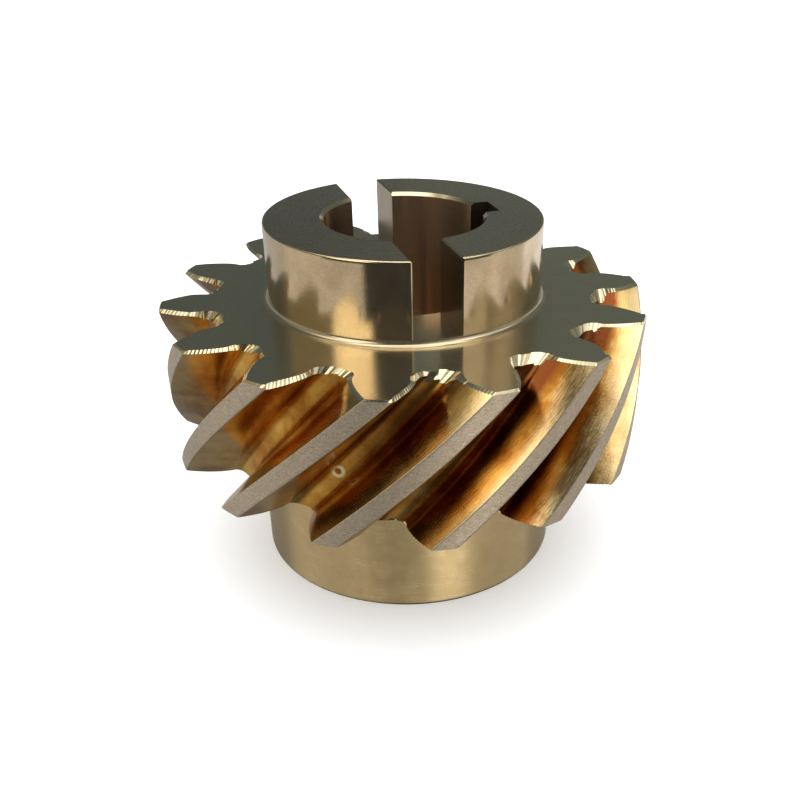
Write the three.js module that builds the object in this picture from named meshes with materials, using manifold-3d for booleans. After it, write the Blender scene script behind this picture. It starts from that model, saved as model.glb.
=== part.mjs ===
// One-piece helical gear with two hubs, machined from a single bronze blank: 14 teeth, right hand,
// 45 degrees. Millimetres, +Z up. The origin is the centre of the lower hub's end face, Z is the
// gear's axis, +X points at the keyway, and the drive slot in the upper hub runs along Y.

import * as THREE from "three";
import { mergeVertices } from "three/addons/utils/BufferGeometryUtils.js";
import Module from "manifold-3d";

const INCH = 25.4;

// Tooth system: 8 normal diametral pitch, full-depth teeth
const TOOTH_COUNT = 14;
const NORMAL_MODULE = INCH / 8;
const HELIX_ANGLE = THREE.MathUtils.degToRad(45);
const NORMAL_PRESSURE_ANGLE = THREE.MathUtils.degToRad(20);
const ADDENDUM = NORMAL_MODULE;
const DEDENDUM = 1.25 * NORMAL_MODULE;
const FIRST_TOOTH_ANGLE = THREE.MathUtils.degToRad(16.3);

// Heights along the axis
const LOWER_HUB_HEIGHT = (23 / 32) * INCH;
const FACE_WIDTH = (27 / 32) * INCH;
const UPPER_HUB_HEIGHT = (7 / 16) * INCH;
const GEAR_BOTTOM = LOWER_HUB_HEIGHT;
const GEAR_TOP = GEAR_BOTTOM + FACE_WIDTH;
const OVERALL_HEIGHT = GEAR_TOP + UPPER_HUB_HEIGHT;

// Hubs
const LOWER_HUB_RADIUS = 22.65;
const UPPER_HUB_RADIUS = 19.45;
const HUB_FILLET_RADIUS = 0.8;
const HUB_EDGE_CHAMFER = 0.3;

// Bore and keyway for a 7/8 inch shaft with a 3/16 inch key
const BORE_RADIUS = (7 / 16) * INCH;
const BORE_CHAMFER = 0.45;
const KEYWAY_WIDTH = (3 / 16) * INCH;
const KEYWAY_FLOOR_FROM_AXIS = 0.964 * INCH - BORE_RADIUS;

// Drive slot across the upper hub, set off the axis on the side away from the keyway
const SLOT_WIDTH = INCH / 4;
const SLOT_OFFSET = -INCH / 16;
const SLOT_FLOOR = GEAR_TOP + HUB_FILLET_RADIUS;

// Facets
const AXIS_ROUND_STEPS = 72;
const FILLET_STEPS = 3;
const FLANK_STEPS = 4;
const ROOT_CURVE_STEPS = 3;
const HELIX_STEPS = 10;
const CUT_MARGIN = 2;

const transversePressureAngle = Math.atan(Math.tan(NORMAL_PRESSURE_ANGLE) / Math.cos(HELIX_ANGLE));
const pitchRadius = (TOOTH_COUNT * NORMAL_MODULE) / Math.cos(HELIX_ANGLE) / 2;
const baseRadius = pitchRadius * Math.cos(transversePressureAngle);
const tipRadius = pitchRadius + ADDENDUM;
const rootRadius = pitchRadius - DEDENDUM;
const flankStartRadius = baseRadius + 0.25 * NORMAL_MODULE;
const toothPitch = (2 * Math.PI) / TOOTH_COUNT;

const wasm = await Module();
wasm.setup();

function toSolid(geometry) {
  geometry.deleteAttribute("normal");
  geometry.deleteAttribute("uv");
  const merged = mergeVertices(geometry, 1e-4);
  const mesh = new wasm.Mesh({
    numProp: 3,
    vertProperties: new Float32Array(merged.attributes.position.array),
    triVerts: new Uint32Array(merged.index.array),
  });
  return new wasm.Manifold(mesh);
}

function toGeometry(solid) {
  const mesh = solid.getMesh();
  const geometry = new THREE.BufferGeometry();
  geometry.setAttribute("position", new THREE.BufferAttribute(mesh.vertProperties, 3));
  geometry.setIndex(new THREE.BufferAttribute(mesh.triVerts, 1));
  geometry.computeVertexNormals();
  return geometry;
}

function polar(radius, angle) {
  return new THREE.Vector2(radius * Math.cos(angle), radius * Math.sin(angle));
}

// Half of the angle that a tooth fills at a radius, from the involute of the base circle
function halfToothAngle(radius) {
  const involute = (angle) => Math.tan(angle) - angle;
  const angleAtRadius = Math.acos(baseRadius / radius);
  return toothPitch / 4 + involute(transversePressureAngle) - involute(angleAtRadius);
}

function flankPoint(centre, side, step) {
  const radius = THREE.MathUtils.lerp(flankStartRadius, tipRadius, step / FLANK_STEPS);
  return polar(radius, centre + side * halfToothAngle(radius));
}

// The round root, drawn as a curve from the middle of a tooth space to the start of a flank
function rootCurveTo(shape, centre, side, end) {
  const control = polar(rootRadius, centre + side * halfToothAngle(flankStartRadius));
  shape.quadraticCurveTo(control.x, control.y, end.x, end.y);
}

function gearOutline() {
  const shape = new THREE.Shape();
  const start = polar(rootRadius, FIRST_TOOTH_ANGLE - toothPitch / 2);
  shape.moveTo(start.x, start.y);
  for (let tooth = 0; tooth < TOOTH_COUNT; tooth += 1) {
    const centre = FIRST_TOOTH_ANGLE + tooth * toothPitch;
    rootCurveTo(shape, centre, -1, flankPoint(centre, -1, 0));
    for (let step = 1; step <= FLANK_STEPS; step += 1) {
      const point = flankPoint(centre, -1, step);
      shape.lineTo(point.x, point.y);
    }
    const tip = polar(tipRadius, centre);
    shape.lineTo(tip.x, tip.y);
    for (let step = FLANK_STEPS; step >= 0; step -= 1) {
      const point = flankPoint(centre, 1, step);
      shape.lineTo(point.x, point.y);
    }
    rootCurveTo(shape, centre, 1, polar(rootRadius, centre + toothPitch / 2));
  }
  return shape;
}

// The outline is extruded straight, then turned with height so that the top face keeps its angle
function toothedBody() {
  const geometry = new THREE.ExtrudeGeometry(gearOutline(), {
    depth: FACE_WIDTH,
    steps: HELIX_STEPS,
    curveSegments: ROOT_CURVE_STEPS,
    bevelEnabled: false,
  });
  const position = geometry.attributes.position;
  const point = new THREE.Vector3();
  const axis = new THREE.Vector3(0, 0, 1);
  for (let i = 0; i < position.count; i += 1) {
    point.fromBufferAttribute(position, i);
    const belowTop = FACE_WIDTH - point.z;
    point.applyAxisAngle(axis, (-belowTop * Math.tan(HELIX_ANGLE)) / pitchRadius);
    position.setXYZ(i, point.x, point.y, point.z);
  }
  geometry.translate(0, 0, GEAR_BOTTOM);
  return toSolid(geometry);
}

function turned(profile) {
  const geometry = new THREE.LatheGeometry(profile, AXIS_ROUND_STEPS);
  geometry.rotateX(Math.PI / 2);
  return toSolid(geometry);
}

// Quarter round between a hub's side and a gear face; direction is +1 above the face, -1 below
function filletPoints(hubRadius, faceHeight, direction) {
  const points = [];
  for (let step = 0; step <= FILLET_STEPS; step += 1) {
    const angle = (step / FILLET_STEPS) * (Math.PI / 2);
    const radius = hubRadius + HUB_FILLET_RADIUS * (1 - Math.sin(angle));
    const height = faceHeight + direction * HUB_FILLET_RADIUS * (1 - Math.cos(angle));
    points.push(new THREE.Vector2(radius, height));
  }
  return points;
}

function hubs() {
  const insideGear = (FACE_WIDTH / 2) * 0.8;
  const profile = [
    new THREE.Vector2(0, 0),
    new THREE.Vector2(LOWER_HUB_RADIUS - HUB_EDGE_CHAMFER, 0),
    new THREE.Vector2(LOWER_HUB_RADIUS, HUB_EDGE_CHAMFER),
    ...filletPoints(LOWER_HUB_RADIUS, GEAR_BOTTOM, -1).reverse(),
    new THREE.Vector2(LOWER_HUB_RADIUS + HUB_FILLET_RADIUS, GEAR_BOTTOM + insideGear),
    new THREE.Vector2(UPPER_HUB_RADIUS + HUB_FILLET_RADIUS, GEAR_TOP - insideGear),
    ...filletPoints(UPPER_HUB_RADIUS, GEAR_TOP, 1),
    new THREE.Vector2(UPPER_HUB_RADIUS, OVERALL_HEIGHT - HUB_EDGE_CHAMFER),
    new THREE.Vector2(UPPER_HUB_RADIUS - HUB_EDGE_CHAMFER, OVERALL_HEIGHT),
    new THREE.Vector2(0, OVERALL_HEIGHT),
  ];
  return turned(profile);
}

function boreCutter() {
  const mouthRadius = BORE_RADIUS + BORE_CHAMFER;
  const profile = [
    new THREE.Vector2(0, -CUT_MARGIN),
    new THREE.Vector2(mouthRadius, -CUT_MARGIN),
    new THREE.Vector2(mouthRadius, 0),
    new THREE.Vector2(BORE_RADIUS, BORE_CHAMFER),
    new THREE.Vector2(BORE_RADIUS, OVERALL_HEIGHT - BORE_CHAMFER),
    new THREE.Vector2(mouthRadius, OVERALL_HEIGHT),
    new THREE.Vector2(mouthRadius, OVERALL_HEIGHT + CUT_MARGIN),
    new THREE.Vector2(0, OVERALL_HEIGHT + CUT_MARGIN),
  ];
  return turned(profile);
}

function keywayCutter() {
  const height = OVERALL_HEIGHT + 2 * CUT_MARGIN;
  const geometry = new THREE.BoxGeometry(KEYWAY_FLOOR_FROM_AXIS, KEYWAY_WIDTH, height);
  geometry.translate(KEYWAY_FLOOR_FROM_AXIS / 2, 0, OVERALL_HEIGHT / 2);
  return toSolid(geometry);
}

function slotCutter() {
  const height = OVERALL_HEIGHT - SLOT_FLOOR + CUT_MARGIN;
  const length = 2 * (UPPER_HUB_RADIUS + HUB_FILLET_RADIUS + CUT_MARGIN);
  const geometry = new THREE.BoxGeometry(SLOT_WIDTH, length, height);
  geometry.translate(SLOT_OFFSET, 0, SLOT_FLOOR + height / 2);
  return toSolid(geometry);
}

const bronze = new THREE.MeshStandardMaterial({ color: 0xb59a6c, roughness: 0.35, metalness: 1 });
const gearSolid = toothedBody()
  .add(hubs())
  .subtract(boreCutter())
  .subtract(keywayCutter())
  .subtract(slotCutter());
const gear = new THREE.Mesh(toGeometry(gearSolid), bronze);
gear.name = "helical_gear";

const part = new THREE.Group();
part.add(gear);

export default part;
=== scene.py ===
"""Looks for the one-piece bronze helical gear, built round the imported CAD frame.

Everything is in metres in the CAD's own frame: Z is the gear's axis, the lower hub stands on z = 0,
+X points at the keyway and the drive slot runs along Y. The gear is one closed mesh, drawn ring by
ring round its section, from the fine tooth outline to the hubs and the bore.
"""

import math

import bmesh
import bpy
import numpy as np
from mathutils import Matrix, Vector

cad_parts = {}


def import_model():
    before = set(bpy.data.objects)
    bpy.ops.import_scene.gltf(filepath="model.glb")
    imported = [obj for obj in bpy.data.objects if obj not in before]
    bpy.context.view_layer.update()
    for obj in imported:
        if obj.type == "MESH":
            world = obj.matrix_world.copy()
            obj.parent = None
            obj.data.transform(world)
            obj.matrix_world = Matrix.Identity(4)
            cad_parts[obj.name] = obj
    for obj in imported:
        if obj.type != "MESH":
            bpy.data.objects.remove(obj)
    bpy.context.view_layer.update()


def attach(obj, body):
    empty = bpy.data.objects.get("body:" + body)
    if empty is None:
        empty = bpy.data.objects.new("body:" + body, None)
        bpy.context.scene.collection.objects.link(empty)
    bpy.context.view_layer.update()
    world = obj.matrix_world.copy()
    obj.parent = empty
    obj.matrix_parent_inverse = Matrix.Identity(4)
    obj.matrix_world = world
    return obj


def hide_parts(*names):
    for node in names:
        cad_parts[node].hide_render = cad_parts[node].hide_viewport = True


# A millimetre in metres, and an inch in millimetres
MM = 0.001
INCH = 25.4

# Tooth system and main sizes, in millimetres, the same as the CAD part's
TOOTH_COUNT = 14
NORMAL_MODULE = INCH / 8
HELIX_ANGLE = math.radians(45)
NORMAL_PRESSURE_ANGLE = math.radians(20)
DEDENDUM = 1.25 * NORMAL_MODULE
FIRST_TOOTH_ANGLE = math.radians(16.3)
GEAR_BOTTOM = (23 / 32) * INCH
GEAR_TOP = GEAR_BOTTOM + (27 / 32) * INCH
HUB_TOP = GEAR_TOP + (7 / 16) * INCH
LOWER_HUB_RADIUS = 22.65
UPPER_HUB_RADIUS = 19.45
FILLET_RADIUS = 0.8
HUB_EDGE_BREAK = 0.3
BORE_RADIUS = (7 / 16) * INCH
BORE_CHAMFER = 0.45
KEYWAY_WIDTH = (3 / 16) * INCH
KEYWAY_FLOOR = 0.964 * INCH - BORE_RADIUS
SLOT_WIDTH = INCH / 4
SLOT_OFFSET = -INCH / 16
SLOT_FLOOR = GEAR_TOP + FILLET_RADIUS

# Filed bevels on each kind of edge: drop along the axis and inset into the metal, in millimetres. The
# acute flank is the one that leans over the face. The lower end is filed more lightly.
ACUTE_FLANK_BEVEL = (0.5, 0.92)
OTHER_FLANK_BEVEL = (0.32, 0.22)
LAND_BEVEL = (0.3, 0.22)
ACUTE_ROOT_BEVEL = (0.75, 0.8)
OTHER_ROOT_BEVEL = (0.75, 0.45)
LOWER_BEVEL_SHARE = 0.4

# The filing's unevenness and chatter marks, and the small edge breaks, with lengths in millimetres
WANDER_PITCH = 3
WANDER_SHARE = 0.12
CHATTER_PITCH = 0.5
CHATTER_DEPTH = 0.17
ROOT_FACET_LENGTH = 1.1
ROOT_FACET_DEPTH = 0.2
TIP_EDGE_BREAK = 0.08
CUT_EDGE_BREAK = 0.2
EDGE_BREAK_SLOPE = 3

# The side of the gear that gets painted shade in its tooth spaces and the most wear and painted
# highlight at its tips, and the middle of the dried ring in millimetres
PAINTED_LIGHT_SIDE_ANGLE = math.radians(-35)
RING_PLACE = (-16.3, -22.1, 25.2)

TRANSVERSE_PRESSURE_ANGLE = math.atan(math.tan(NORMAL_PRESSURE_ANGLE) / math.cos(HELIX_ANGLE))
PITCH_RADIUS = TOOTH_COUNT * NORMAL_MODULE / math.cos(HELIX_ANGLE) / 2
BASE_RADIUS = PITCH_RADIUS * math.cos(TRANSVERSE_PRESSURE_ANGLE)
TIP_RADIUS = PITCH_RADIUS + NORMAL_MODULE
ROOT_RADIUS = PITCH_RADIUS - DEDENDUM
FLANK_START_RADIUS = BASE_RADIUS + 0.25 * NORMAL_MODULE
TOOTH_PITCH = 2 * math.pi / TOOTH_COUNT
TWIST_PER_MM = math.tan(HELIX_ANGLE) / PITCH_RADIUS

# How finely the surfaces are divided, with lengths in millimetres
LAND_STEPS = 4
FLANK_STEPS = 60
ROOT_STEPS = 17
HELIX_STEPS = 48
FINE_PER_COARSE = 4
FILLET_STEPS = 8
EDGE_STEPS = 3
CORNER_MARGIN = 0.25
FINE_CIRCLE_RADIUS = ROOT_RADIUS - 1.6
COARSE_CIRCLE_RADIUS = ROOT_RADIUS - 2.8
SHARP_EDGE_ANGLE = math.radians(32)

# How far the cutters run past the metal, in millimetres
OVERRUN_SIDEWAYS = 3
OVERRUN_LENGTHWAYS = 2
FLARE_RISE = 1

# The camera, in the part's frame
VIEW_AZIMUTH = math.radians(-106.92)
CAMERA_REACH = 0.13398
CAMERA_HEIGHT = 0.09028
CAMERA_PITCH = math.radians(32.853)
CAMERA_YAW = math.radians(2.865)
CAMERA_ROLL = math.radians(0.411)
CAMERA_LENS = 43.533
CAMERA_SHIFT = (-0.0625, 0.125)

ZONES = (
    "hub_side", "fillet", "hub_end", "gear_face", "bore", "flank", "land", "bevel", "edge_break",
    "lower_hub", "milled", "keyway",
)
ZONE = {name: index for index, name in enumerate(ZONES)}


# ---------------------------------------------------------------- tooth outline


def involute(angle):
    return np.tan(angle) - angle


def half_tooth_angle(radius):
    """Half of the angle that a tooth fills at a radius."""
    at_radius = np.arccos(BASE_RADIUS / radius)
    return TOOTH_PITCH / 4 + involute(TRANSVERSE_PRESSURE_ANGLE) - involute(at_radius)


def half_profile():
    """Radius, angle and zone of the points from a tooth's middle to the middle of the next space."""
    tip_half = half_tooth_angle(TIP_RADIUS)
    land_half = tip_half - TIP_EDGE_BREAK / TIP_RADIUS
    land = [(TIP_RADIUS, angle, "land") for angle in np.linspace(0, land_half, LAND_STEPS + 1)]
    rounding = 0.28 * TIP_EDGE_BREAK
    middle = (TIP_RADIUS - rounding, tip_half - rounding / TIP_RADIUS, "land")
    flank_radii = np.linspace(TIP_RADIUS - TIP_EDGE_BREAK, FLANK_START_RADIUS, FLANK_STEPS + 1)
    flank = [(radius, half_tooth_angle(radius), "flank") for radius in flank_radii]
    start_angle = half_tooth_angle(FLANK_START_RADIUS)
    start = FLANK_START_RADIUS * np.exp(1j * start_angle)
    control = ROOT_RADIUS * np.exp(1j * start_angle)
    end = ROOT_RADIUS * np.exp(1j * TOOTH_PITCH / 2)
    root = []
    for share in np.linspace(0, 1, ROOT_STEPS + 1)[1:]:
        point = (1 - share) ** 2 * start + 2 * share * (1 - share) * control + share**2 * end
        root.append((abs(point), np.angle(point), "flank"))
    return land + [middle] + flank + root


def full_outline():
    """The whole outline at the gear's top, anticlockwise: radii, angles, which side of its tooth a
    point is on (-1 clockwise, 1 anticlockwise), and the zone of the stretch after each point."""
    half = half_profile()
    one_tooth = [(radius, -angle, zone) for radius, angle, zone in reversed(half)][:-1] + half[:-1]
    radii, angles, sides, zones = [], [], [], []
    for tooth in range(TOOTH_COUNT):
        centre = FIRST_TOOTH_ANGLE + tooth * TOOTH_PITCH
        for index, (radius, angle, zone) in enumerate(one_tooth):
            following = one_tooth[(index + 1) % len(one_tooth)][2]
            radii.append(radius)
            angles.append(centre + angle)
            sides.append(1 if angle >= 0 else -1)
            zones.append("land" if "land" in (zone, following) else "flank")
    return np.array(radii), np.array(angles), np.array(sides), np.array(zones)


def smoothed(values, reach):
    """Circular running mean over a few points each way."""
    total = sum(np.roll(values, shift) for shift in range(-reach, reach + 1))
    return total / (2 * reach + 1)


def filed_bevel(radii, angles, sides, acute_side, size, seed):
    """Drop and inset of the bevel filed round the teeth at one end, with its chatter marks."""
    rng = np.random.default_rng(seed)
    points = radii * np.exp(1j * angles)
    arc = np.cumsum(np.abs(points - np.roll(points, 1)))
    tooth = np.arange(len(radii)) // (len(radii) // TOOTH_COUNT)
    space = (tooth + (sides > 0)) % TOOTH_COUNT
    acute = sides == acute_side
    on_land = radii > TIP_RADIUS - TIP_EDGE_BREAK / 2
    in_root = radii < FLANK_START_RADIUS + 0.2

    bevel = np.where(acute[:, None], ACUTE_FLANK_BEVEL, OTHER_FLANK_BEVEL)
    bevel[on_land] = LAND_BEVEL
    bevel[in_root] = np.where(acute[in_root, None], ACUTE_ROOT_BEVEL, OTHER_ROOT_BEVEL)
    heaviness = rng.uniform(0.8, 1.15, TOOTH_COUNT)[tooth]
    heaviness[in_root] *= rng.uniform(0.8, 1.5, TOOTH_COUNT)[space[in_root]]
    stations = np.arange(0, arc[-1] + WANDER_PITCH, WANDER_PITCH)
    wander = np.interp(arc, stations, rng.normal(0, 1, int(arc[-1] // WANDER_PITCH) + 2))
    drop = smoothed(bevel[:, 0] * heaviness, 3) * (1 + WANDER_SHARE * wander)
    inset = smoothed(bevel[:, 1] * heaviness, 3) * (1 + WANDER_SHARE * wander)

    ridge = 2 * np.abs((arc / CHATTER_PITCH + 0.4 * wander) % 1 - 0.5)
    strength = np.where(acute, 1.0, 0.6) * np.clip(0.9 + 0.4 * wander, 0.4, 1.4)
    strength[on_land] = 0.1
    strength[in_root] = 0.3
    chatter = CHATTER_DEPTH * strength * (ridge - 0.5)
    facets = ROOT_FACET_DEPTH * rng.normal(0, 1, int(arc[-1] / ROOT_FACET_LENGTH) + 2)
    facet = facets[(arc / ROOT_FACET_LENGTH).astype(int)]
    drop += chatter + in_root * facet
    inset += in_root * np.roll(facet, 5) - chatter
    return size * np.clip(drop, 0.1, 1.6), size * np.clip(inset, 0.08, 1.3)


# ---------------------------------------------------------------- the gear's mesh


def twist_at(height):
    return (height - GEAR_TOP) * TWIST_PER_MM


def outline_ring(radii, angles, heights):
    turned = angles + twist_at(heights)
    heights = np.broadcast_to(heights, radii.shape)
    return np.stack([radii * np.cos(turned), radii * np.sin(turned), heights], axis=1)


def inset_ring(radii, angles, height, inset):
    """The outline at one height, moved into the metal by a different amount at each point. Where two
    sides of a corner would cross, their points are gathered at the corner instead. Gives the ring
    and its angles."""
    ring = outline_ring(radii, angles, np.full(radii.shape, height))
    along = np.roll(ring, -1, axis=0) - np.roll(ring, 1, axis=0)
    inward = np.stack([-along[:, 1], along[:, 0], 0 * along[:, 0]], axis=1)
    inward /= np.linalg.norm(inward, axis=1)[:, None]
    moved = ring + inward * inset[:, None]
    turned = angles + twist_at(height)
    shift = np.arctan2(moved[:, 1], moved[:, 0]) - turned
    shift -= 2 * math.pi * np.round(shift / (2 * math.pi))
    half = len(radii) // TOOTH_COUNT // 2
    spacing = 1e-5 * np.arange(half)
    halves = (turned + shift).reshape(TOOTH_COUNT, 2, half)
    rising = np.maximum.accumulate(halves[:, 0] - spacing, axis=1) + spacing
    falling = np.minimum.accumulate((halves[:, 1] - spacing)[:, ::-1], axis=1)[:, ::-1] + spacing
    ordered = np.stack([rising, falling], axis=1).ravel()
    return circle_ring(np.hypot(moved[:, 0], moved[:, 1]), height, ordered), ordered


def circle_ring(radius, height, angles):
    return np.stack([radius * np.cos(angles), radius * np.sin(angles), np.full(len(angles), height)], 1)


def rounded(start, corner, end, steps, zone, following):
    """Profile points of a quarter ellipse from start to end, hugging the corner that it rounds, and
    the zone that follows at its end."""
    centre = np.array(start) + np.array(end) - np.array(corner)
    first, last = np.array(start) - centre, np.array(end) - centre
    angles = np.linspace(0, math.pi / 2, steps + 1)[:-1]
    points = [centre + first * math.cos(angle) + last * math.sin(angle) for angle in angles]
    return [(*point, zone) for point in points] + [(*end, following)]


def hub_profile():
    """Radius, height and the zone that follows, from the top gear face over the hubs to the bottom
    gear face. Extra points close to each corner keep the flat stretches flat when shaded."""
    upper = UPPER_HUB_RADIUS
    lower = LOWER_HUB_RADIUS
    mouth = BORE_RADIUS + BORE_CHAMFER
    fillet = FILLET_RADIUS
    edge = HUB_EDGE_BREAK
    near = CORNER_MARGIN
    return [
        (upper + fillet + near, GEAR_TOP, "gear_face"),
        *rounded((upper + fillet, GEAR_TOP), (upper, GEAR_TOP), (upper, GEAR_TOP + fillet),
                 FILLET_STEPS, "fillet", "hub_side"),
        (upper, GEAR_TOP + fillet + near, "hub_side"),
        (upper, HUB_TOP - edge - near, "hub_side"),
        *rounded((upper, HUB_TOP - edge), (upper, HUB_TOP), (upper - edge, HUB_TOP),
                 EDGE_STEPS, "edge_break", "hub_end"),
        (upper - edge - near, HUB_TOP, "hub_end"),
        (mouth + near, HUB_TOP, "hub_end"),
        (mouth, HUB_TOP, "edge_break"),
        (BORE_RADIUS, HUB_TOP - BORE_CHAMFER, "bore"),
        (BORE_RADIUS, HUB_TOP - BORE_CHAMFER - near, "bore"),
        (BORE_RADIUS, BORE_CHAMFER + near, "bore"),
        (BORE_RADIUS, BORE_CHAMFER, "edge_break"),
        (mouth, 0, "hub_end"),
        (mouth + near, 0, "hub_end"),
        (lower - edge - near, 0, "hub_end"),
        *rounded((lower - edge, 0), (lower, 0), (lower, edge), EDGE_STEPS, "edge_break", "lower_hub"),
        (lower, edge + near, "lower_hub"),
        (lower, GEAR_BOTTOM - fillet - near, "lower_hub"),
        *rounded((lower, GEAR_BOTTOM - fillet), (lower, GEAR_BOTTOM), (lower + fillet, GEAR_BOTTOM),
                 FILLET_STEPS, "fillet", "gear_face"),
        (lower + fillet + near, GEAR_BOTTOM, "gear_face"),
    ]


class RingMesh:
    """A surface made of rings of points, with faces between each ring and the next."""

    def __init__(self):
        self.rings = []
        self.starts = []
        self.faces = []
        self.face_zones = []

    def add_ring(self, ring, zones, shift=0):
        """Adds a ring, and the faces that join it to the ring before."""
        self.starts.append(sum(len(earlier) for earlier in self.rings))
        self.rings.append(ring)
        if len(self.rings) > 1:
            self.join(len(self.rings) - 2, len(self.rings) - 1, zones, shift)

    def close(self, zones):
        """Joins the last ring to the first."""
        self.join(len(self.rings) - 1, 0, zones)

    def join(self, first, second, zones, shift=0):
        """Faces from ring first to ring second. Where one ring is finer, several of its points meet
        each point of the other; shift turns the coarser ring by that many points."""
        low, high = self.starts[first], self.starts[second]
        size_low, size_high = len(self.rings[first]), len(self.rings[second])
        step_low = max(1, size_low // size_high)
        step_high = max(1, size_high // size_low)
        for cell in range(min(size_low, size_high)):
            lows = [(cell * step_low + k) % size_low for k in range(step_low + 1)]
            highs = [(cell * step_high + k) % size_high for k in range(step_high + 1)]
            if step_high > 1:
                lows = [(index + shift) % size_low for index in lows]
            face = [low + index for index in lows] + [high + index for index in reversed(highs)]
            self.faces.append(face)
            self.face_zones.append(ZONE[zones if isinstance(zones, str) else zones[cell]])

    def to_mesh(self, name):
        mesh = bpy.data.meshes.new(name)
        points = np.concatenate(self.rings) * MM
        mesh.from_pydata(points.tolist(), [], self.faces)
        mesh.polygons.foreach_set("material_index", self.face_zones)
        mesh.update()
        return mesh


def gear_mesh():
    radii, angles, sides, zones = full_outline()
    top_drop, top_inset = filed_bevel(radii, angles, sides, acute_side=1, size=1, seed=3)
    low_drop, low_inset = filed_bevel(radii, angles, sides, acute_side=-1,
                                      size=LOWER_BEVEL_SHARE, seed=8)
    top_ring, top_angles = inset_ring(radii, angles, GEAR_TOP, top_inset)
    low_ring, low_angles = inset_ring(radii, angles, GEAR_BOTTOM, low_inset)
    coarse_count = len(radii) // FINE_PER_COARSE
    coarse_angles = angles[0] + 2 * math.pi * np.arange(coarse_count) / coarse_count

    surface = RingMesh()
    for step in range(HELIX_STEPS + 1):
        share = step / HELIX_STEPS
        heights = (1 - share) * (GEAR_BOTTOM + low_drop) + share * (GEAR_TOP - top_drop)
        surface.add_ring(outline_ring(radii, angles, heights), zones)
    surface.add_ring(top_ring, "bevel")
    surface.add_ring(circle_ring(FINE_CIRCLE_RADIUS, GEAR_TOP, top_angles), "gear_face")
    surface.add_ring(circle_ring(COARSE_CIRCLE_RADIUS, GEAR_TOP, coarse_angles), "gear_face")
    zone = "gear_face"
    for radius, height, following in hub_profile():
        surface.add_ring(circle_ring(radius, height, coarse_angles), zone)
        zone = following
    surface.add_ring(circle_ring(COARSE_CIRCLE_RADIUS, GEAR_BOTTOM, coarse_angles), "gear_face")
    shift = round(twist_at(GEAR_BOTTOM) / (2 * math.pi) * coarse_count)
    surface.add_ring(circle_ring(FINE_CIRCLE_RADIUS, GEAR_BOTTOM, low_angles), "gear_face", shift)
    surface.add_ring(low_ring, "gear_face")
    surface.close("bevel")
    return surface.to_mesh("helical_gear_fine")


def prism(name, outline, low, high, side_zones, axis_order=(0, 1, 2)):
    """A closed prism of an outline, in millimetres, from low to high. Its sides take side_zones in
    turn and its ends take the last. axis_order says which of the outline's two axes (0 and 1) and the
    prism's length (2) lies along X, Y and Z."""
    count = len(outline)
    points = [(*point, low) for point in outline] + [(*point, high) for point in outline]
    points = [tuple(point[axis] * MM for axis in axis_order) for point in points]
    sides = [(i, (i + 1) % count, count + (i + 1) % count, count + i) for i in range(count)]
    faces = [tuple(reversed(range(count))), tuple(range(count, 2 * count))] + sides
    zones = [side_zones[-1]] * 2 + [side_zones[i % len(side_zones)] for i in range(count)]
    mesh = bpy.data.meshes.new(name)
    mesh.from_pydata(points, [], faces)
    mesh.polygons.foreach_set("material_index", [ZONE[zone] for zone in zones])
    mesh.update()
    fix = bmesh.new()
    fix.from_mesh(mesh)
    bmesh.ops.recalc_face_normals(fix, faces=fix.faces)
    fix.to_mesh(mesh)
    fix.free()
    cutter = bpy.data.objects.new(name, mesh)
    bpy.context.scene.collection.objects.link(cutter)
    return cutter


def slot_plan():
    """The slot seen from above, with its ends flared where its walls meet the hub's side."""
    far = UPPER_HUB_RADIUS + OVERRUN_SIDEWAYS
    plan = []
    for side_x, side_y in ((1, -1), (1, 1), (-1, 1), (-1, -1)):
        wall = SLOT_OFFSET + side_x * SLOT_WIDTH / 2
        meet = math.sqrt(UPPER_HUB_RADIUS**2 - wall**2)
        inner = meet - CUT_EDGE_BREAK / 2
        corner = [
            (wall, side_y * inner),
            (wall + side_x * EDGE_BREAK_SLOPE * (far - inner), side_y * far),
        ]
        plan += corner if side_x * side_y > 0 else corner[::-1]
    return plan


def cutters():
    far = UPPER_HUB_RADIUS + OVERRUN_SIDEWAYS
    half_slot = SLOT_WIDTH / 2
    half_spread = half_slot + CUT_EDGE_BREAK + FLARE_RISE
    flare = [
        (SLOT_OFFSET - half_slot, HUB_TOP - CUT_EDGE_BREAK),
        (SLOT_OFFSET + half_slot, HUB_TOP - CUT_EDGE_BREAK),
        (SLOT_OFFSET + half_spread, HUB_TOP + FLARE_RISE),
        (SLOT_OFFSET - half_spread, HUB_TOP + FLARE_RISE),
    ]
    half_key = KEYWAY_WIDTH / 2
    keyway = [(0, -half_key), (KEYWAY_FLOOR, -half_key), (KEYWAY_FLOOR, half_key), (0, half_key)]
    above = HUB_TOP + OVERRUN_LENGTHWAYS
    return [
        prism("slot_cutter", slot_plan(), SLOT_FLOOR, above, ("edge_break", "milled")),
        prism("flare_cutter", flare, -far, far, ("milled", "edge_break"), axis_order=(0, 2, 1)),
        prism("keyway_cutter", keyway, -OVERRUN_LENGTHWAYS, above, ("keyway",)),
    ]


def cut_gear(gear, materials):
    tools = cutters()
    for tool in tools:
        for material in materials:
            tool.data.materials.append(material)
        modifier = gear.modifiers.new(tool.name, "BOOLEAN")
        modifier.operation = "DIFFERENCE"
        modifier.solver = "MANIFOLD"
        modifier.object = tool
    graph = bpy.context.evaluated_depsgraph_get()
    cut = bpy.data.meshes.new_from_object(gear.evaluated_get(graph))
    gear.modifiers.clear()
    gear.data = cut
    for tool in tools:
        bpy.data.objects.remove(tool)


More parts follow.
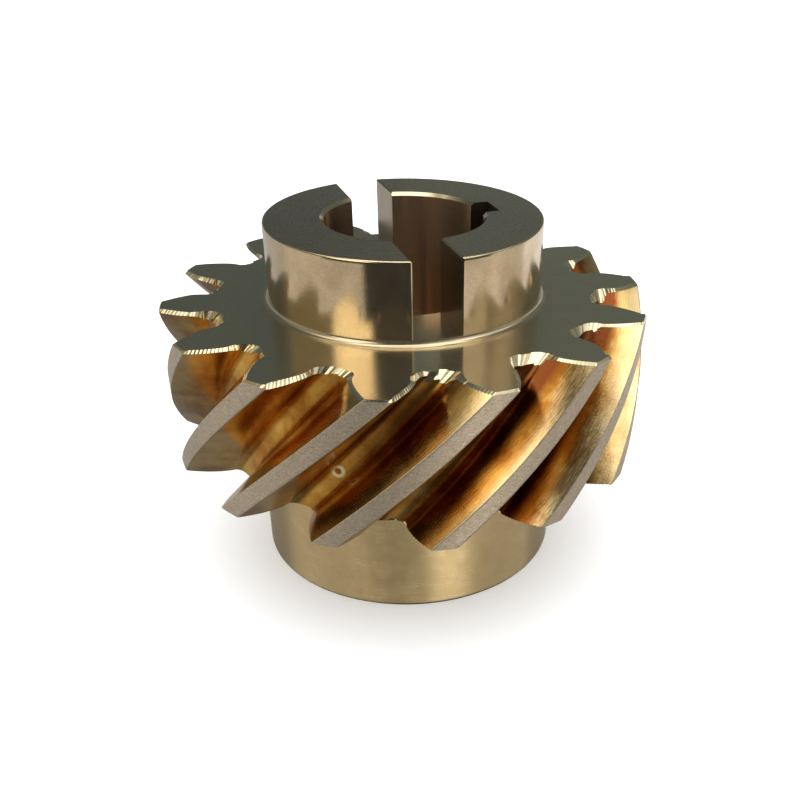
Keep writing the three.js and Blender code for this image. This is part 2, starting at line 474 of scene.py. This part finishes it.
def shade(gear):
    """Smooth shading, with real corners kept sharp and the filed bevels left in facets."""
    mesh = gear.data
    mesh.polygons.foreach_set("use_smooth", [p.material_index != ZONE["bevel"] for p in mesh.polygons])
    mesh.set_sharp_from_angle(angle=SHARP_EDGE_ANGLE)
    edit = bmesh.new()
    edit.from_mesh(mesh)
    for edge in edit.edges:
        if any(face.material_index == ZONE["bevel"] for face in edge.link_faces):
            edge.smooth = False
    edit.to_mesh(mesh)
    edit.free()
    weighted = gear.modifiers.new("weighted_normals", "WEIGHTED_NORMAL")
    weighted.keep_sharp = True


# ---------------------------------------------------------------- materials


class NodeTree:
    """Short calls that make and link the nodes of a material or a world. A value is a number, a colour,
    a vector or another node's output."""

    def __init__(self, owner):
        owner.use_nodes = True
        self.nodes = owner.node_tree.nodes
        self.links = owner.node_tree.links

    def node(self, kind):
        return self.nodes.new(kind)

    def put(self, value, socket):
        if isinstance(value, bpy.types.NodeSocket):
            self.links.new(value, socket)
        else:
            socket.default_value = value

    def math(self, operation, first, second=None):
        node = self.node("ShaderNodeMath")
        node.operation = operation
        self.put(first, node.inputs[0])
        if second is not None:
            self.put(second, node.inputs[1])
        return node.outputs[0]

    def vector_math(self, operation, first, second):
        """The outputs of a vector node: Vector, and Value for a dot product or a distance."""
        node = self.node("ShaderNodeVectorMath")
        node.operation = operation
        self.put(first, node.inputs[0])
        self.put(second, node.inputs[1])
        return node.outputs

    def split(self, vector):
        node = self.node("ShaderNodeSeparateXYZ")
        self.put(vector, node.inputs[0])
        return node.outputs

    def remap(self, value, low, high, to_low=0, to_high=1, curve="LINEAR"):
        """Turns one range of values into another, 0 to 1 unless told, and stops at its ends."""
        node = self.node("ShaderNodeMapRange")
        node.interpolation_type = curve
        for number, socket in zip((value, low, high, to_low, to_high), node.inputs):
            self.put(number, socket)
        return node.outputs[0]

    def mix(self, share, first, second):
        """Blends from the first colour to the second by a share."""
        node = self.node("ShaderNodeMix")
        node.data_type = "RGBA"
        self.put(share, node.inputs["Factor"])
        for value, socket in ((first, node.inputs[6]), (second, node.inputs[7])):
            self.put((*value, 1) if isinstance(value, tuple) else value, socket)
        return node.outputs[2]


class Finish(NodeTree):
    """A metal material being put together: its shader, and the part's coordinates in millimetres."""

    def __init__(self, name):
        self.material = bpy.data.materials.new(name)
        super().__init__(self.material)
        self.shader = self.nodes["Principled BSDF"]
        self.set("Metallic", 1)
        in_metres = self.node("ShaderNodeTexCoord").outputs["Object"]
        self.position = self.vector_math("MULTIPLY", in_metres, (1 / MM, 1 / MM, 1 / MM))["Vector"]
        x, y, self.height = self.split(self.position)
        squares = self.math("ADD", self.math("POWER", x, 2), self.math("POWER", y, 2))
        self.radius = self.math("SQRT", squares)
        self.angle = self.math("ARCTAN2", y, x)

    def set(self, name, value):
        self.put(value, self.shader.inputs[name])

    def combine(self, x, y, z=0):
        node = self.node("ShaderNodeCombineXYZ")
        for value, socket in zip((x, y, z), node.inputs):
            self.put(value, socket)
        return node.outputs[0]

    def noise(self, vector, scale, detail=3, rough=0.5):
        node = self.node("ShaderNodeTexNoise")
        self.put(vector, node.inputs["Vector"])
        node.inputs["Scale"].default_value = scale
        node.inputs["Detail"].default_value = detail
        node.inputs["Roughness"].default_value = rough
        return node.outputs["Fac"]

    def weighted_sum(self, first, first_share, second):
        """Two values added by their shares, which make 1."""
        return self.math("ADD", self.math("MULTIPLY", first, first_share),
                         self.math("MULTIPLY", second, 1 - first_share))

    def bump(self, height, strength, distance_mm, normal=None):
        node = self.node("ShaderNodeBump")
        node.inputs["Strength"].default_value = strength
        node.inputs["Distance"].default_value = distance_mm * MM
        self.put(height, node.inputs["Height"])
        if normal is not None:
            self.put(normal, node.inputs["Normal"])
        return node.outputs["Normal"]

    def towards(self, angle):
        """How far a point lies from the axis towards an angle round it."""
        direction = (math.cos(angle), math.sin(angle), 0)
        return self.vector_math("DOT_PRODUCT", self.position, direction)["Value"]

    def distance(self, place):
        return self.vector_math("DISTANCE", self.position, place)["Value"]

    def turned_lines(self, per_mm):
        """Marks of a turning tool: they change along the section and hardly round the axis."""
        along = self.math("ADD", self.radius, self.height)
        return self.noise(self.combine(along, self.math("MULTIPLY", self.angle, 0.35)), per_mm, 2)

    def along_teeth(self, across_per_mm, along_share):
        """Noise drawn out along the helical teeth."""
        turn = self.math("SUBTRACT", self.angle, self.math("MULTIPLY", self.height, TWIST_PER_MM))
        place = self.combine(self.math("MULTIPLY", self.math("COSINE", turn), self.radius),
                             self.math("MULTIPLY", self.math("SINE", turn), self.radius),
                             self.math("MULTIPLY", self.height, along_share))
        return self.noise(place, across_per_mm, 3, 0.6)

    def brush(self, strength):
        """Stretches reflections across the turning marks, which run round the axis."""
        around = self.node("ShaderNodeTangent")
        around.direction_type = "RADIAL"
        around.axis = "Z"
        self.set("Tangent", around.outputs[0])
        self.set("Anisotropic", strength)
        self.set("Anisotropic Rotation", 0.25)


def turned_bronze(name, light, dark, roughness, stretch, line_depth, grain_depth):
    """Turned metal: circumferential tool lines, and faint mottling in colour and gloss."""
    finish = Finish(name)
    lines = finish.turned_lines(6)
    mottle = finish.noise(finish.position, 0.35, 4, 0.6)
    grain = finish.noise(finish.position, 4.5)
    patches = finish.weighted_sum(grain, 0.35, mottle)
    finish.set("Base Color", finish.mix(finish.remap(patches, 0.35, 0.65), light, dark))
    gloss = finish.weighted_sum(lines, 0.5, mottle)
    finish.set("Roughness", finish.remap(gloss, 0.3, 0.7, roughness * 0.8, roughness * 1.25))
    finish.brush(stretch)
    normal = finish.bump(lines, 0.35, line_depth)
    finish.set("Normal", finish.bump(grain, 0.2, grain_depth, normal))
    return finish.material


def add_dried_ring(finish, color):
    """A pale drop mark with a dark middle, left by a liquid that dried on one flank."""
    from_middle = finish.distance(RING_PLACE)
    color = finish.mix(finish.remap(from_middle, 1.1, 0.9, 0, 0.8), color, (0.75, 0.68, 0.4))
    return finish.mix(finish.remap(from_middle, 0.55, 0.4), color, (0.3, 0.1, 0.02))


def flank_bronze():
    """Hobbed and run-in flanks: amber and red-brown stain over gold, paler near the tips with wear and
    painted highlight, with fine crossing marks along the teeth. One side of the gear has painted shade
    in its tooth spaces, partly real stain, and more wear and painted highlight at its tips."""
    finish = Finish("flank_bronze")
    stain = finish.noise(finish.position, 0.17)
    spots = finish.noise(finish.position, 0.9, 4, 0.6)
    streaks = finish.along_teeth(5, 0.2)
    scratches = finish.along_teeth(2.2, 1.6)
    # Towards the side with painted shade in the tooth spaces and painted highlight at the tips
    painted_light_side = finish.remap(finish.towards(PAINTED_LIGHT_SIDE_ANGLE), -12, 24)

    tone = finish.remap(finish.weighted_sum(stain, 0.8, spots), 0.38, 0.62)
    color = finish.mix(tone, (0.42, 0.17, 0.022), (0.85, 0.5, 0.1))
    # Painted shade, partly real stain: the tooth spaces darken towards the root on that one side only
    shade_and_stain_in_space = finish.remap(finish.radius, PITCH_RADIUS + 0.7, PITCH_RADIUS - 1)
    color = finish.mix(finish.math("MULTIPLY", shade_and_stain_in_space, painted_light_side), color, (0.19, 0.055, 0.016))
    # Paler towards the tips: wear, and a painted highlight that is strongest on that one side
    wear_and_highlight = finish.math("ADD", finish.remap(finish.radius, PITCH_RADIUS - 1, TIP_RADIUS, 0, 0.8),
                       finish.remap(stain, 0.35, 0.65, -0.2, 0.2))
    wear_and_highlight = finish.math("ADD", wear_and_highlight, finish.remap(streaks, 0.35, 0.65, -0.12, 0.12))
    wear_and_highlight = finish.math("MULTIPLY", finish.remap(wear_and_highlight, 0.1, 0.9), finish.remap(painted_light_side, 0, 1, 0.4, 1))
    # The pale colour of wear and painted highlight
    color = finish.mix(wear_and_highlight, color, (0.88, 0.72, 0.42))
    finish.set("Base Color", add_dried_ring(finish, color))

    rough = finish.remap(finish.radius, ROOT_RADIUS, FLANK_START_RADIUS, 0.3, 0.12)
    finish.set("Roughness", finish.math("ADD", rough, finish.remap(streaks, 0.3, 0.7, 0, 0.08)))
    normal = finish.bump(streaks, 0.35, 0.03)
    normal = finish.bump(scratches, 0.25, 0.03, normal)
    finish.set("Normal", finish.bump(spots, 0.05, 0.05, normal))
    return finish.material


def land_bronze():
    """The teeth's outer lands: a matte, fine-grained turned skin."""
    finish = Finish("land_bronze")
    unrolled = finish.combine(finish.math("MULTIPLY", finish.height, 5),
                              finish.math("MULTIPLY", finish.angle, 30))
    lines = finish.noise(unrolled, 1)
    grain = finish.noise(finish.position, 4.2, 3, 0.65)
    tone = finish.remap(finish.weighted_sum(grain, 0.6, lines), 0.36, 0.64)
    finish.set("Base Color", finish.mix(tone, (0.7, 0.61, 0.49), (0.44, 0.36, 0.26)))
    finish.set("Roughness", finish.remap(grain, 0.3, 0.7, 0.4, 0.55))
    normal = finish.bump(lines, 0.4, 0.04)
    finish.set("Normal", finish.bump(grain, 0.5, 0.05, normal))
    return finish.material


def filed_bronze(name, color, roughness):
    """Freshly cut edges: bright metal with a little unevenness."""
    finish = Finish(name)
    finish.set("Base Color", (*color, 1))
    grain = finish.noise(finish.position, 6)
    finish.set("Roughness", finish.remap(grain, 0.3, 0.7, roughness * 0.7, roughness * 1.4))
    finish.set("Normal", finish.bump(grain, 0.3, 0.03))
    return finish.material


def gear_materials():
    """One material per zone. The turned zones have their light and dark tone, roughness, stretch of
    their reflections, and depth of tool lines and grain in millimetres."""
    turned = {
        "hub_side": ((0.76, 0.61, 0.41), (0.6, 0.46, 0.29), 0.15, 0.65, 0.012, 0.02),
        "fillet": ((0.7, 0.6, 0.43), (0.62, 0.52, 0.36), 0.22, 0.0, 0.003, 0.006),
        "hub_end": ((0.38, 0.345, 0.255), (0.31, 0.27, 0.195), 0.26, 0.4, 0.003, 0.006),
        "gear_face": ((0.66, 0.6, 0.44), (0.6, 0.53, 0.37), 0.18, 0.6, 0.004, 0.006),
        "bore": ((0.7, 0.56, 0.4), (0.56, 0.42, 0.28), 0.2, 0.85, 0.005, 0.01),
        "lower_hub": ((0.64, 0.5, 0.28), (0.56, 0.42, 0.22), 0.3, 0.3, 0.012, 0.02),
        "milled": ((0.5, 0.41, 0.28), (0.42, 0.34, 0.22), 0.22, 0.0, 0.0, 0.01),
        # Near-black keyway walls: painted shade for the deep, narrow keyway
        "keyway": ((0.2, 0.15, 0.1), (0.12, 0.09, 0.06), 0.3, 0.0, 0.0, 0.02),
    }
    makers = {
        "flank": flank_bronze,
        "land": land_bronze,
        "bevel": lambda: filed_bronze("filed_bevel_bronze", (0.82, 0.72, 0.49), 0.15),
        "edge_break": lambda: filed_bronze("edge_break_bronze", (0.7, 0.59, 0.4), 0.12),
    }
    return [
        turned_bronze(zone + "_bronze", *turned[zone]) if zone in turned else makers[zone]()
        for zone in ZONES
    ]


# ---------------------------------------------------------------- camera, floor and light


def level_direction(azimuth_from_camera):
    """A level direction from the gear, with its azimuth counted from the camera's side."""
    azimuth = VIEW_AZIMUTH + azimuth_from_camera
    return (math.cos(azimuth), math.sin(azimuth), 0)


def add_camera():
    data = bpy.data.cameras.new("camera")
    data.sensor_width = 36
    data.lens = CAMERA_LENS
    data.shift_x, data.shift_y = CAMERA_SHIFT
    data.clip_start = 0.01
    camera = bpy.data.objects.new("camera", data)
    heading = VIEW_AZIMUTH + math.pi - CAMERA_YAW
    forward = Vector((
        math.cos(heading) * math.cos(CAMERA_PITCH),
        math.sin(heading) * math.cos(CAMERA_PITCH),
        -math.sin(CAMERA_PITCH),
    ))
    right = Vector((math.sin(heading), -math.cos(heading), 0))
    up = right.cross(forward)
    tilted_right = right * math.cos(CAMERA_ROLL) + up * math.sin(CAMERA_ROLL)
    tilted_up = up * math.cos(CAMERA_ROLL) - right * math.sin(CAMERA_ROLL)
    rotation = Matrix((tilted_right, tilted_up, -forward)).transposed()
    x, y = CAMERA_REACH * math.cos(VIEW_AZIMUTH), CAMERA_REACH * math.sin(VIEW_AZIMUTH)
    camera.matrix_world = Matrix.Translation((x, y, CAMERA_HEIGHT)) @ rotation.to_4x4()
    bpy.context.scene.collection.objects.link(camera)
    bpy.context.scene.camera = camera


def add_floor():
    half = 3.0
    corners = [(-half, -half, 0), (half, -half, 0), (half, half, 0), (-half, half, 0)]
    mesh = bpy.data.meshes.new("paper_floor")
    mesh.from_pydata(corners, [], [(0, 1, 2, 3)])
    floor = bpy.data.objects.new("paper_floor", mesh)
    bpy.context.scene.collection.objects.link(floor)
    material = bpy.data.materials.new("white_paper")
    material.use_nodes = True
    shader = material.node_tree.nodes["Principled BSDF"]
    shader.inputs["Base Color"].default_value = (0.88, 0.88, 0.88, 1)
    shader.inputs["Roughness"].default_value = 0.7
    mesh.materials.append(material)
    floor.visible_glossy = False


class Studio(NodeTree):
    """The studio round the gear, as a world: pale walls with bright windows and dark furniture, which
    only the polished metal's reflections see. The camera and the floor see plain white.

    Azimuths count from the camera's side, to its right; both they and elevations are in degrees. Each
    panel covers what was there before."""

    def __init__(self, color):
        world = bpy.data.worlds.new("studio")
        bpy.context.scene.world = world
        super().__init__(world)
        direction = self.node("ShaderNodeTexCoord").outputs["Generated"]
        self.elevation = self.math("ARCSINE", self.split(direction)["Z"])
        to_front = self.vector_math("DOT_PRODUCT", direction, level_direction(0))["Value"]
        to_right = self.vector_math("DOT_PRODUCT", direction, level_direction(math.pi / 2))["Value"]
        self.azimuth = self.math("ARCTAN2", to_right, to_front)
        self.color = color

    def edge(self, value, at, softness):
        """0 well below an angle and 1 well above it."""
        low, high = math.radians(at - softness), math.radians(at + softness)
        return self.remap(value, low, high, curve="SMOOTHSTEP")

    def between(self, value, low, high, softness):
        """1 between two angles and 0 outside them."""
        return self.math("SUBTRACT", self.edge(value, low, softness), self.edge(value, high, softness))

    def panel(self, color, azimuths, elevations, softness):
        across = self.between(self.azimuth, *azimuths, softness)
        upwards = self.between(self.elevation, *elevations, softness)
        self.color = self.mix(self.math("MULTIPLY", across, upwards), self.color, color)

    def finish(self, plain):
        """The metal's reflections see the studio, and all other light is plain."""
        is_reflection = self.node("ShaderNodeLightPath").outputs["Is Glossy Ray"]
        self.put(self.mix(is_reflection, plain, self.color), self.nodes["Background"].inputs["Color"])


def light_the_studio():
    studio = Studio((0.32, 0.31, 0.26))
    everywhere = (-200, 200)
    left_back = (-200, -112)
    right_back = (112, 200)
    studio.panel((0.075, 0.09, 0.09), left_back, (4, 62), 12)
    studio.panel((0.11, 0.13, 0.12), right_back, (4, 62), 12)

    # The pale wall to the right, the window to the left, and the lamps and ceiling above
    studio.panel((0.72, 0.7, 0.66), (38, 70), (14, 44), 4)
    studio.panel((0.25, 0.23, 0.15), (-112, -64), (8, 38), 5)
    studio.panel((2.1, 1.92, 1.55), (-62, -25), (15, 46), 3)
    studio.panel((1.7, 1.6, 1.4), (-94, -44), (39, 57), 4)
    studio.panel((1.1, 1.03, 0.95), (8, 26), (53, 61), 3)
    studio.panel((1.8, 1.7, 1.5), (24, 62), (46, 61), 4)
    studio.panel((2.3, 2.2, 2.0), (52, 84), (40, 54), 4)
    studio.panel((1.1, 1.05, 0.95), (80, 104), (27, 40), 4)
    studio.panel((0.95, 0.92, 0.86), everywhere, (66, 120), 4)
    studio.panel((2.3, 2.2, 2.0), everywhere, (65, 79), 4)
    studio.panel((2.1, 2.0, 1.8), (-20, 70), (60, 72), 2)

    # The table top, brighter in front and behind to the right
    studio.panel((0.62, 0.59, 0.54), everywhere, (-46, -1), 3)
    studio.panel((0.76, 0.72, 0.66), (38, 84), (-29, -1), 4)
    studio.panel((0.86, 0.81, 0.71), (-45, 50), (-46, -31), 6)
    studio.panel((0.5, 0.48, 0.44), (62, 104), (-46, -31), 6)
    studio.panel((0.5, 0.5, 0.5), left_back, (-29, 3), 4)
    studio.panel((0.95, 0.96, 0.97), right_back, (-29, 3), 4)
    for back in (left_back, right_back):
        studio.panel((0.2, 0.2, 0.2), back, (-95, -29), 4)

    # The dark figure at the camera, the dark room behind it, and the gear's own shadow
    near_black = (0.02, 0.025, 0.025)
    studio.panel((0.1, 0.1, 0.09), (-41, 3), (44, 58), 2)
    studio.panel(near_black, (-33, 18), (-32, 12), 2)
    studio.panel(near_black, (-28, 18), (8, 50), 2)
    studio.panel((0.03, 0.03, 0.03), (-66, 72), (-15, 13), 3)
    studio.panel((0.15, 0.14, 0.13), (-105, -32), (-95, -46), 4)
    studio.panel((0.02, 0.02, 0.02), (-32, 110), (-95, -45), 4)
    studio.panel((3.2, 3.05, 2.75), (16, 42), (-33, -21), 2)
    studio.finish(plain=(1.9, 1.9, 1.9))


# ---------------------------------------------------------------- build


def build():
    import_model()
    add_camera()
    materials = gear_materials()
    gear = bpy.data.objects.new("bronze_helical_gear", gear_mesh())
    bpy.context.scene.collection.objects.link(gear)
    for material in materials:
        gear.data.materials.append(material)
    cut_gear(gear, materials)
    shade(gear)
    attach(gear, "root")
    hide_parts("helical_gear")
    add_floor()
    light_the_studio()
    bpy.context.scene.view_settings.view_transform = "Standard"


build()
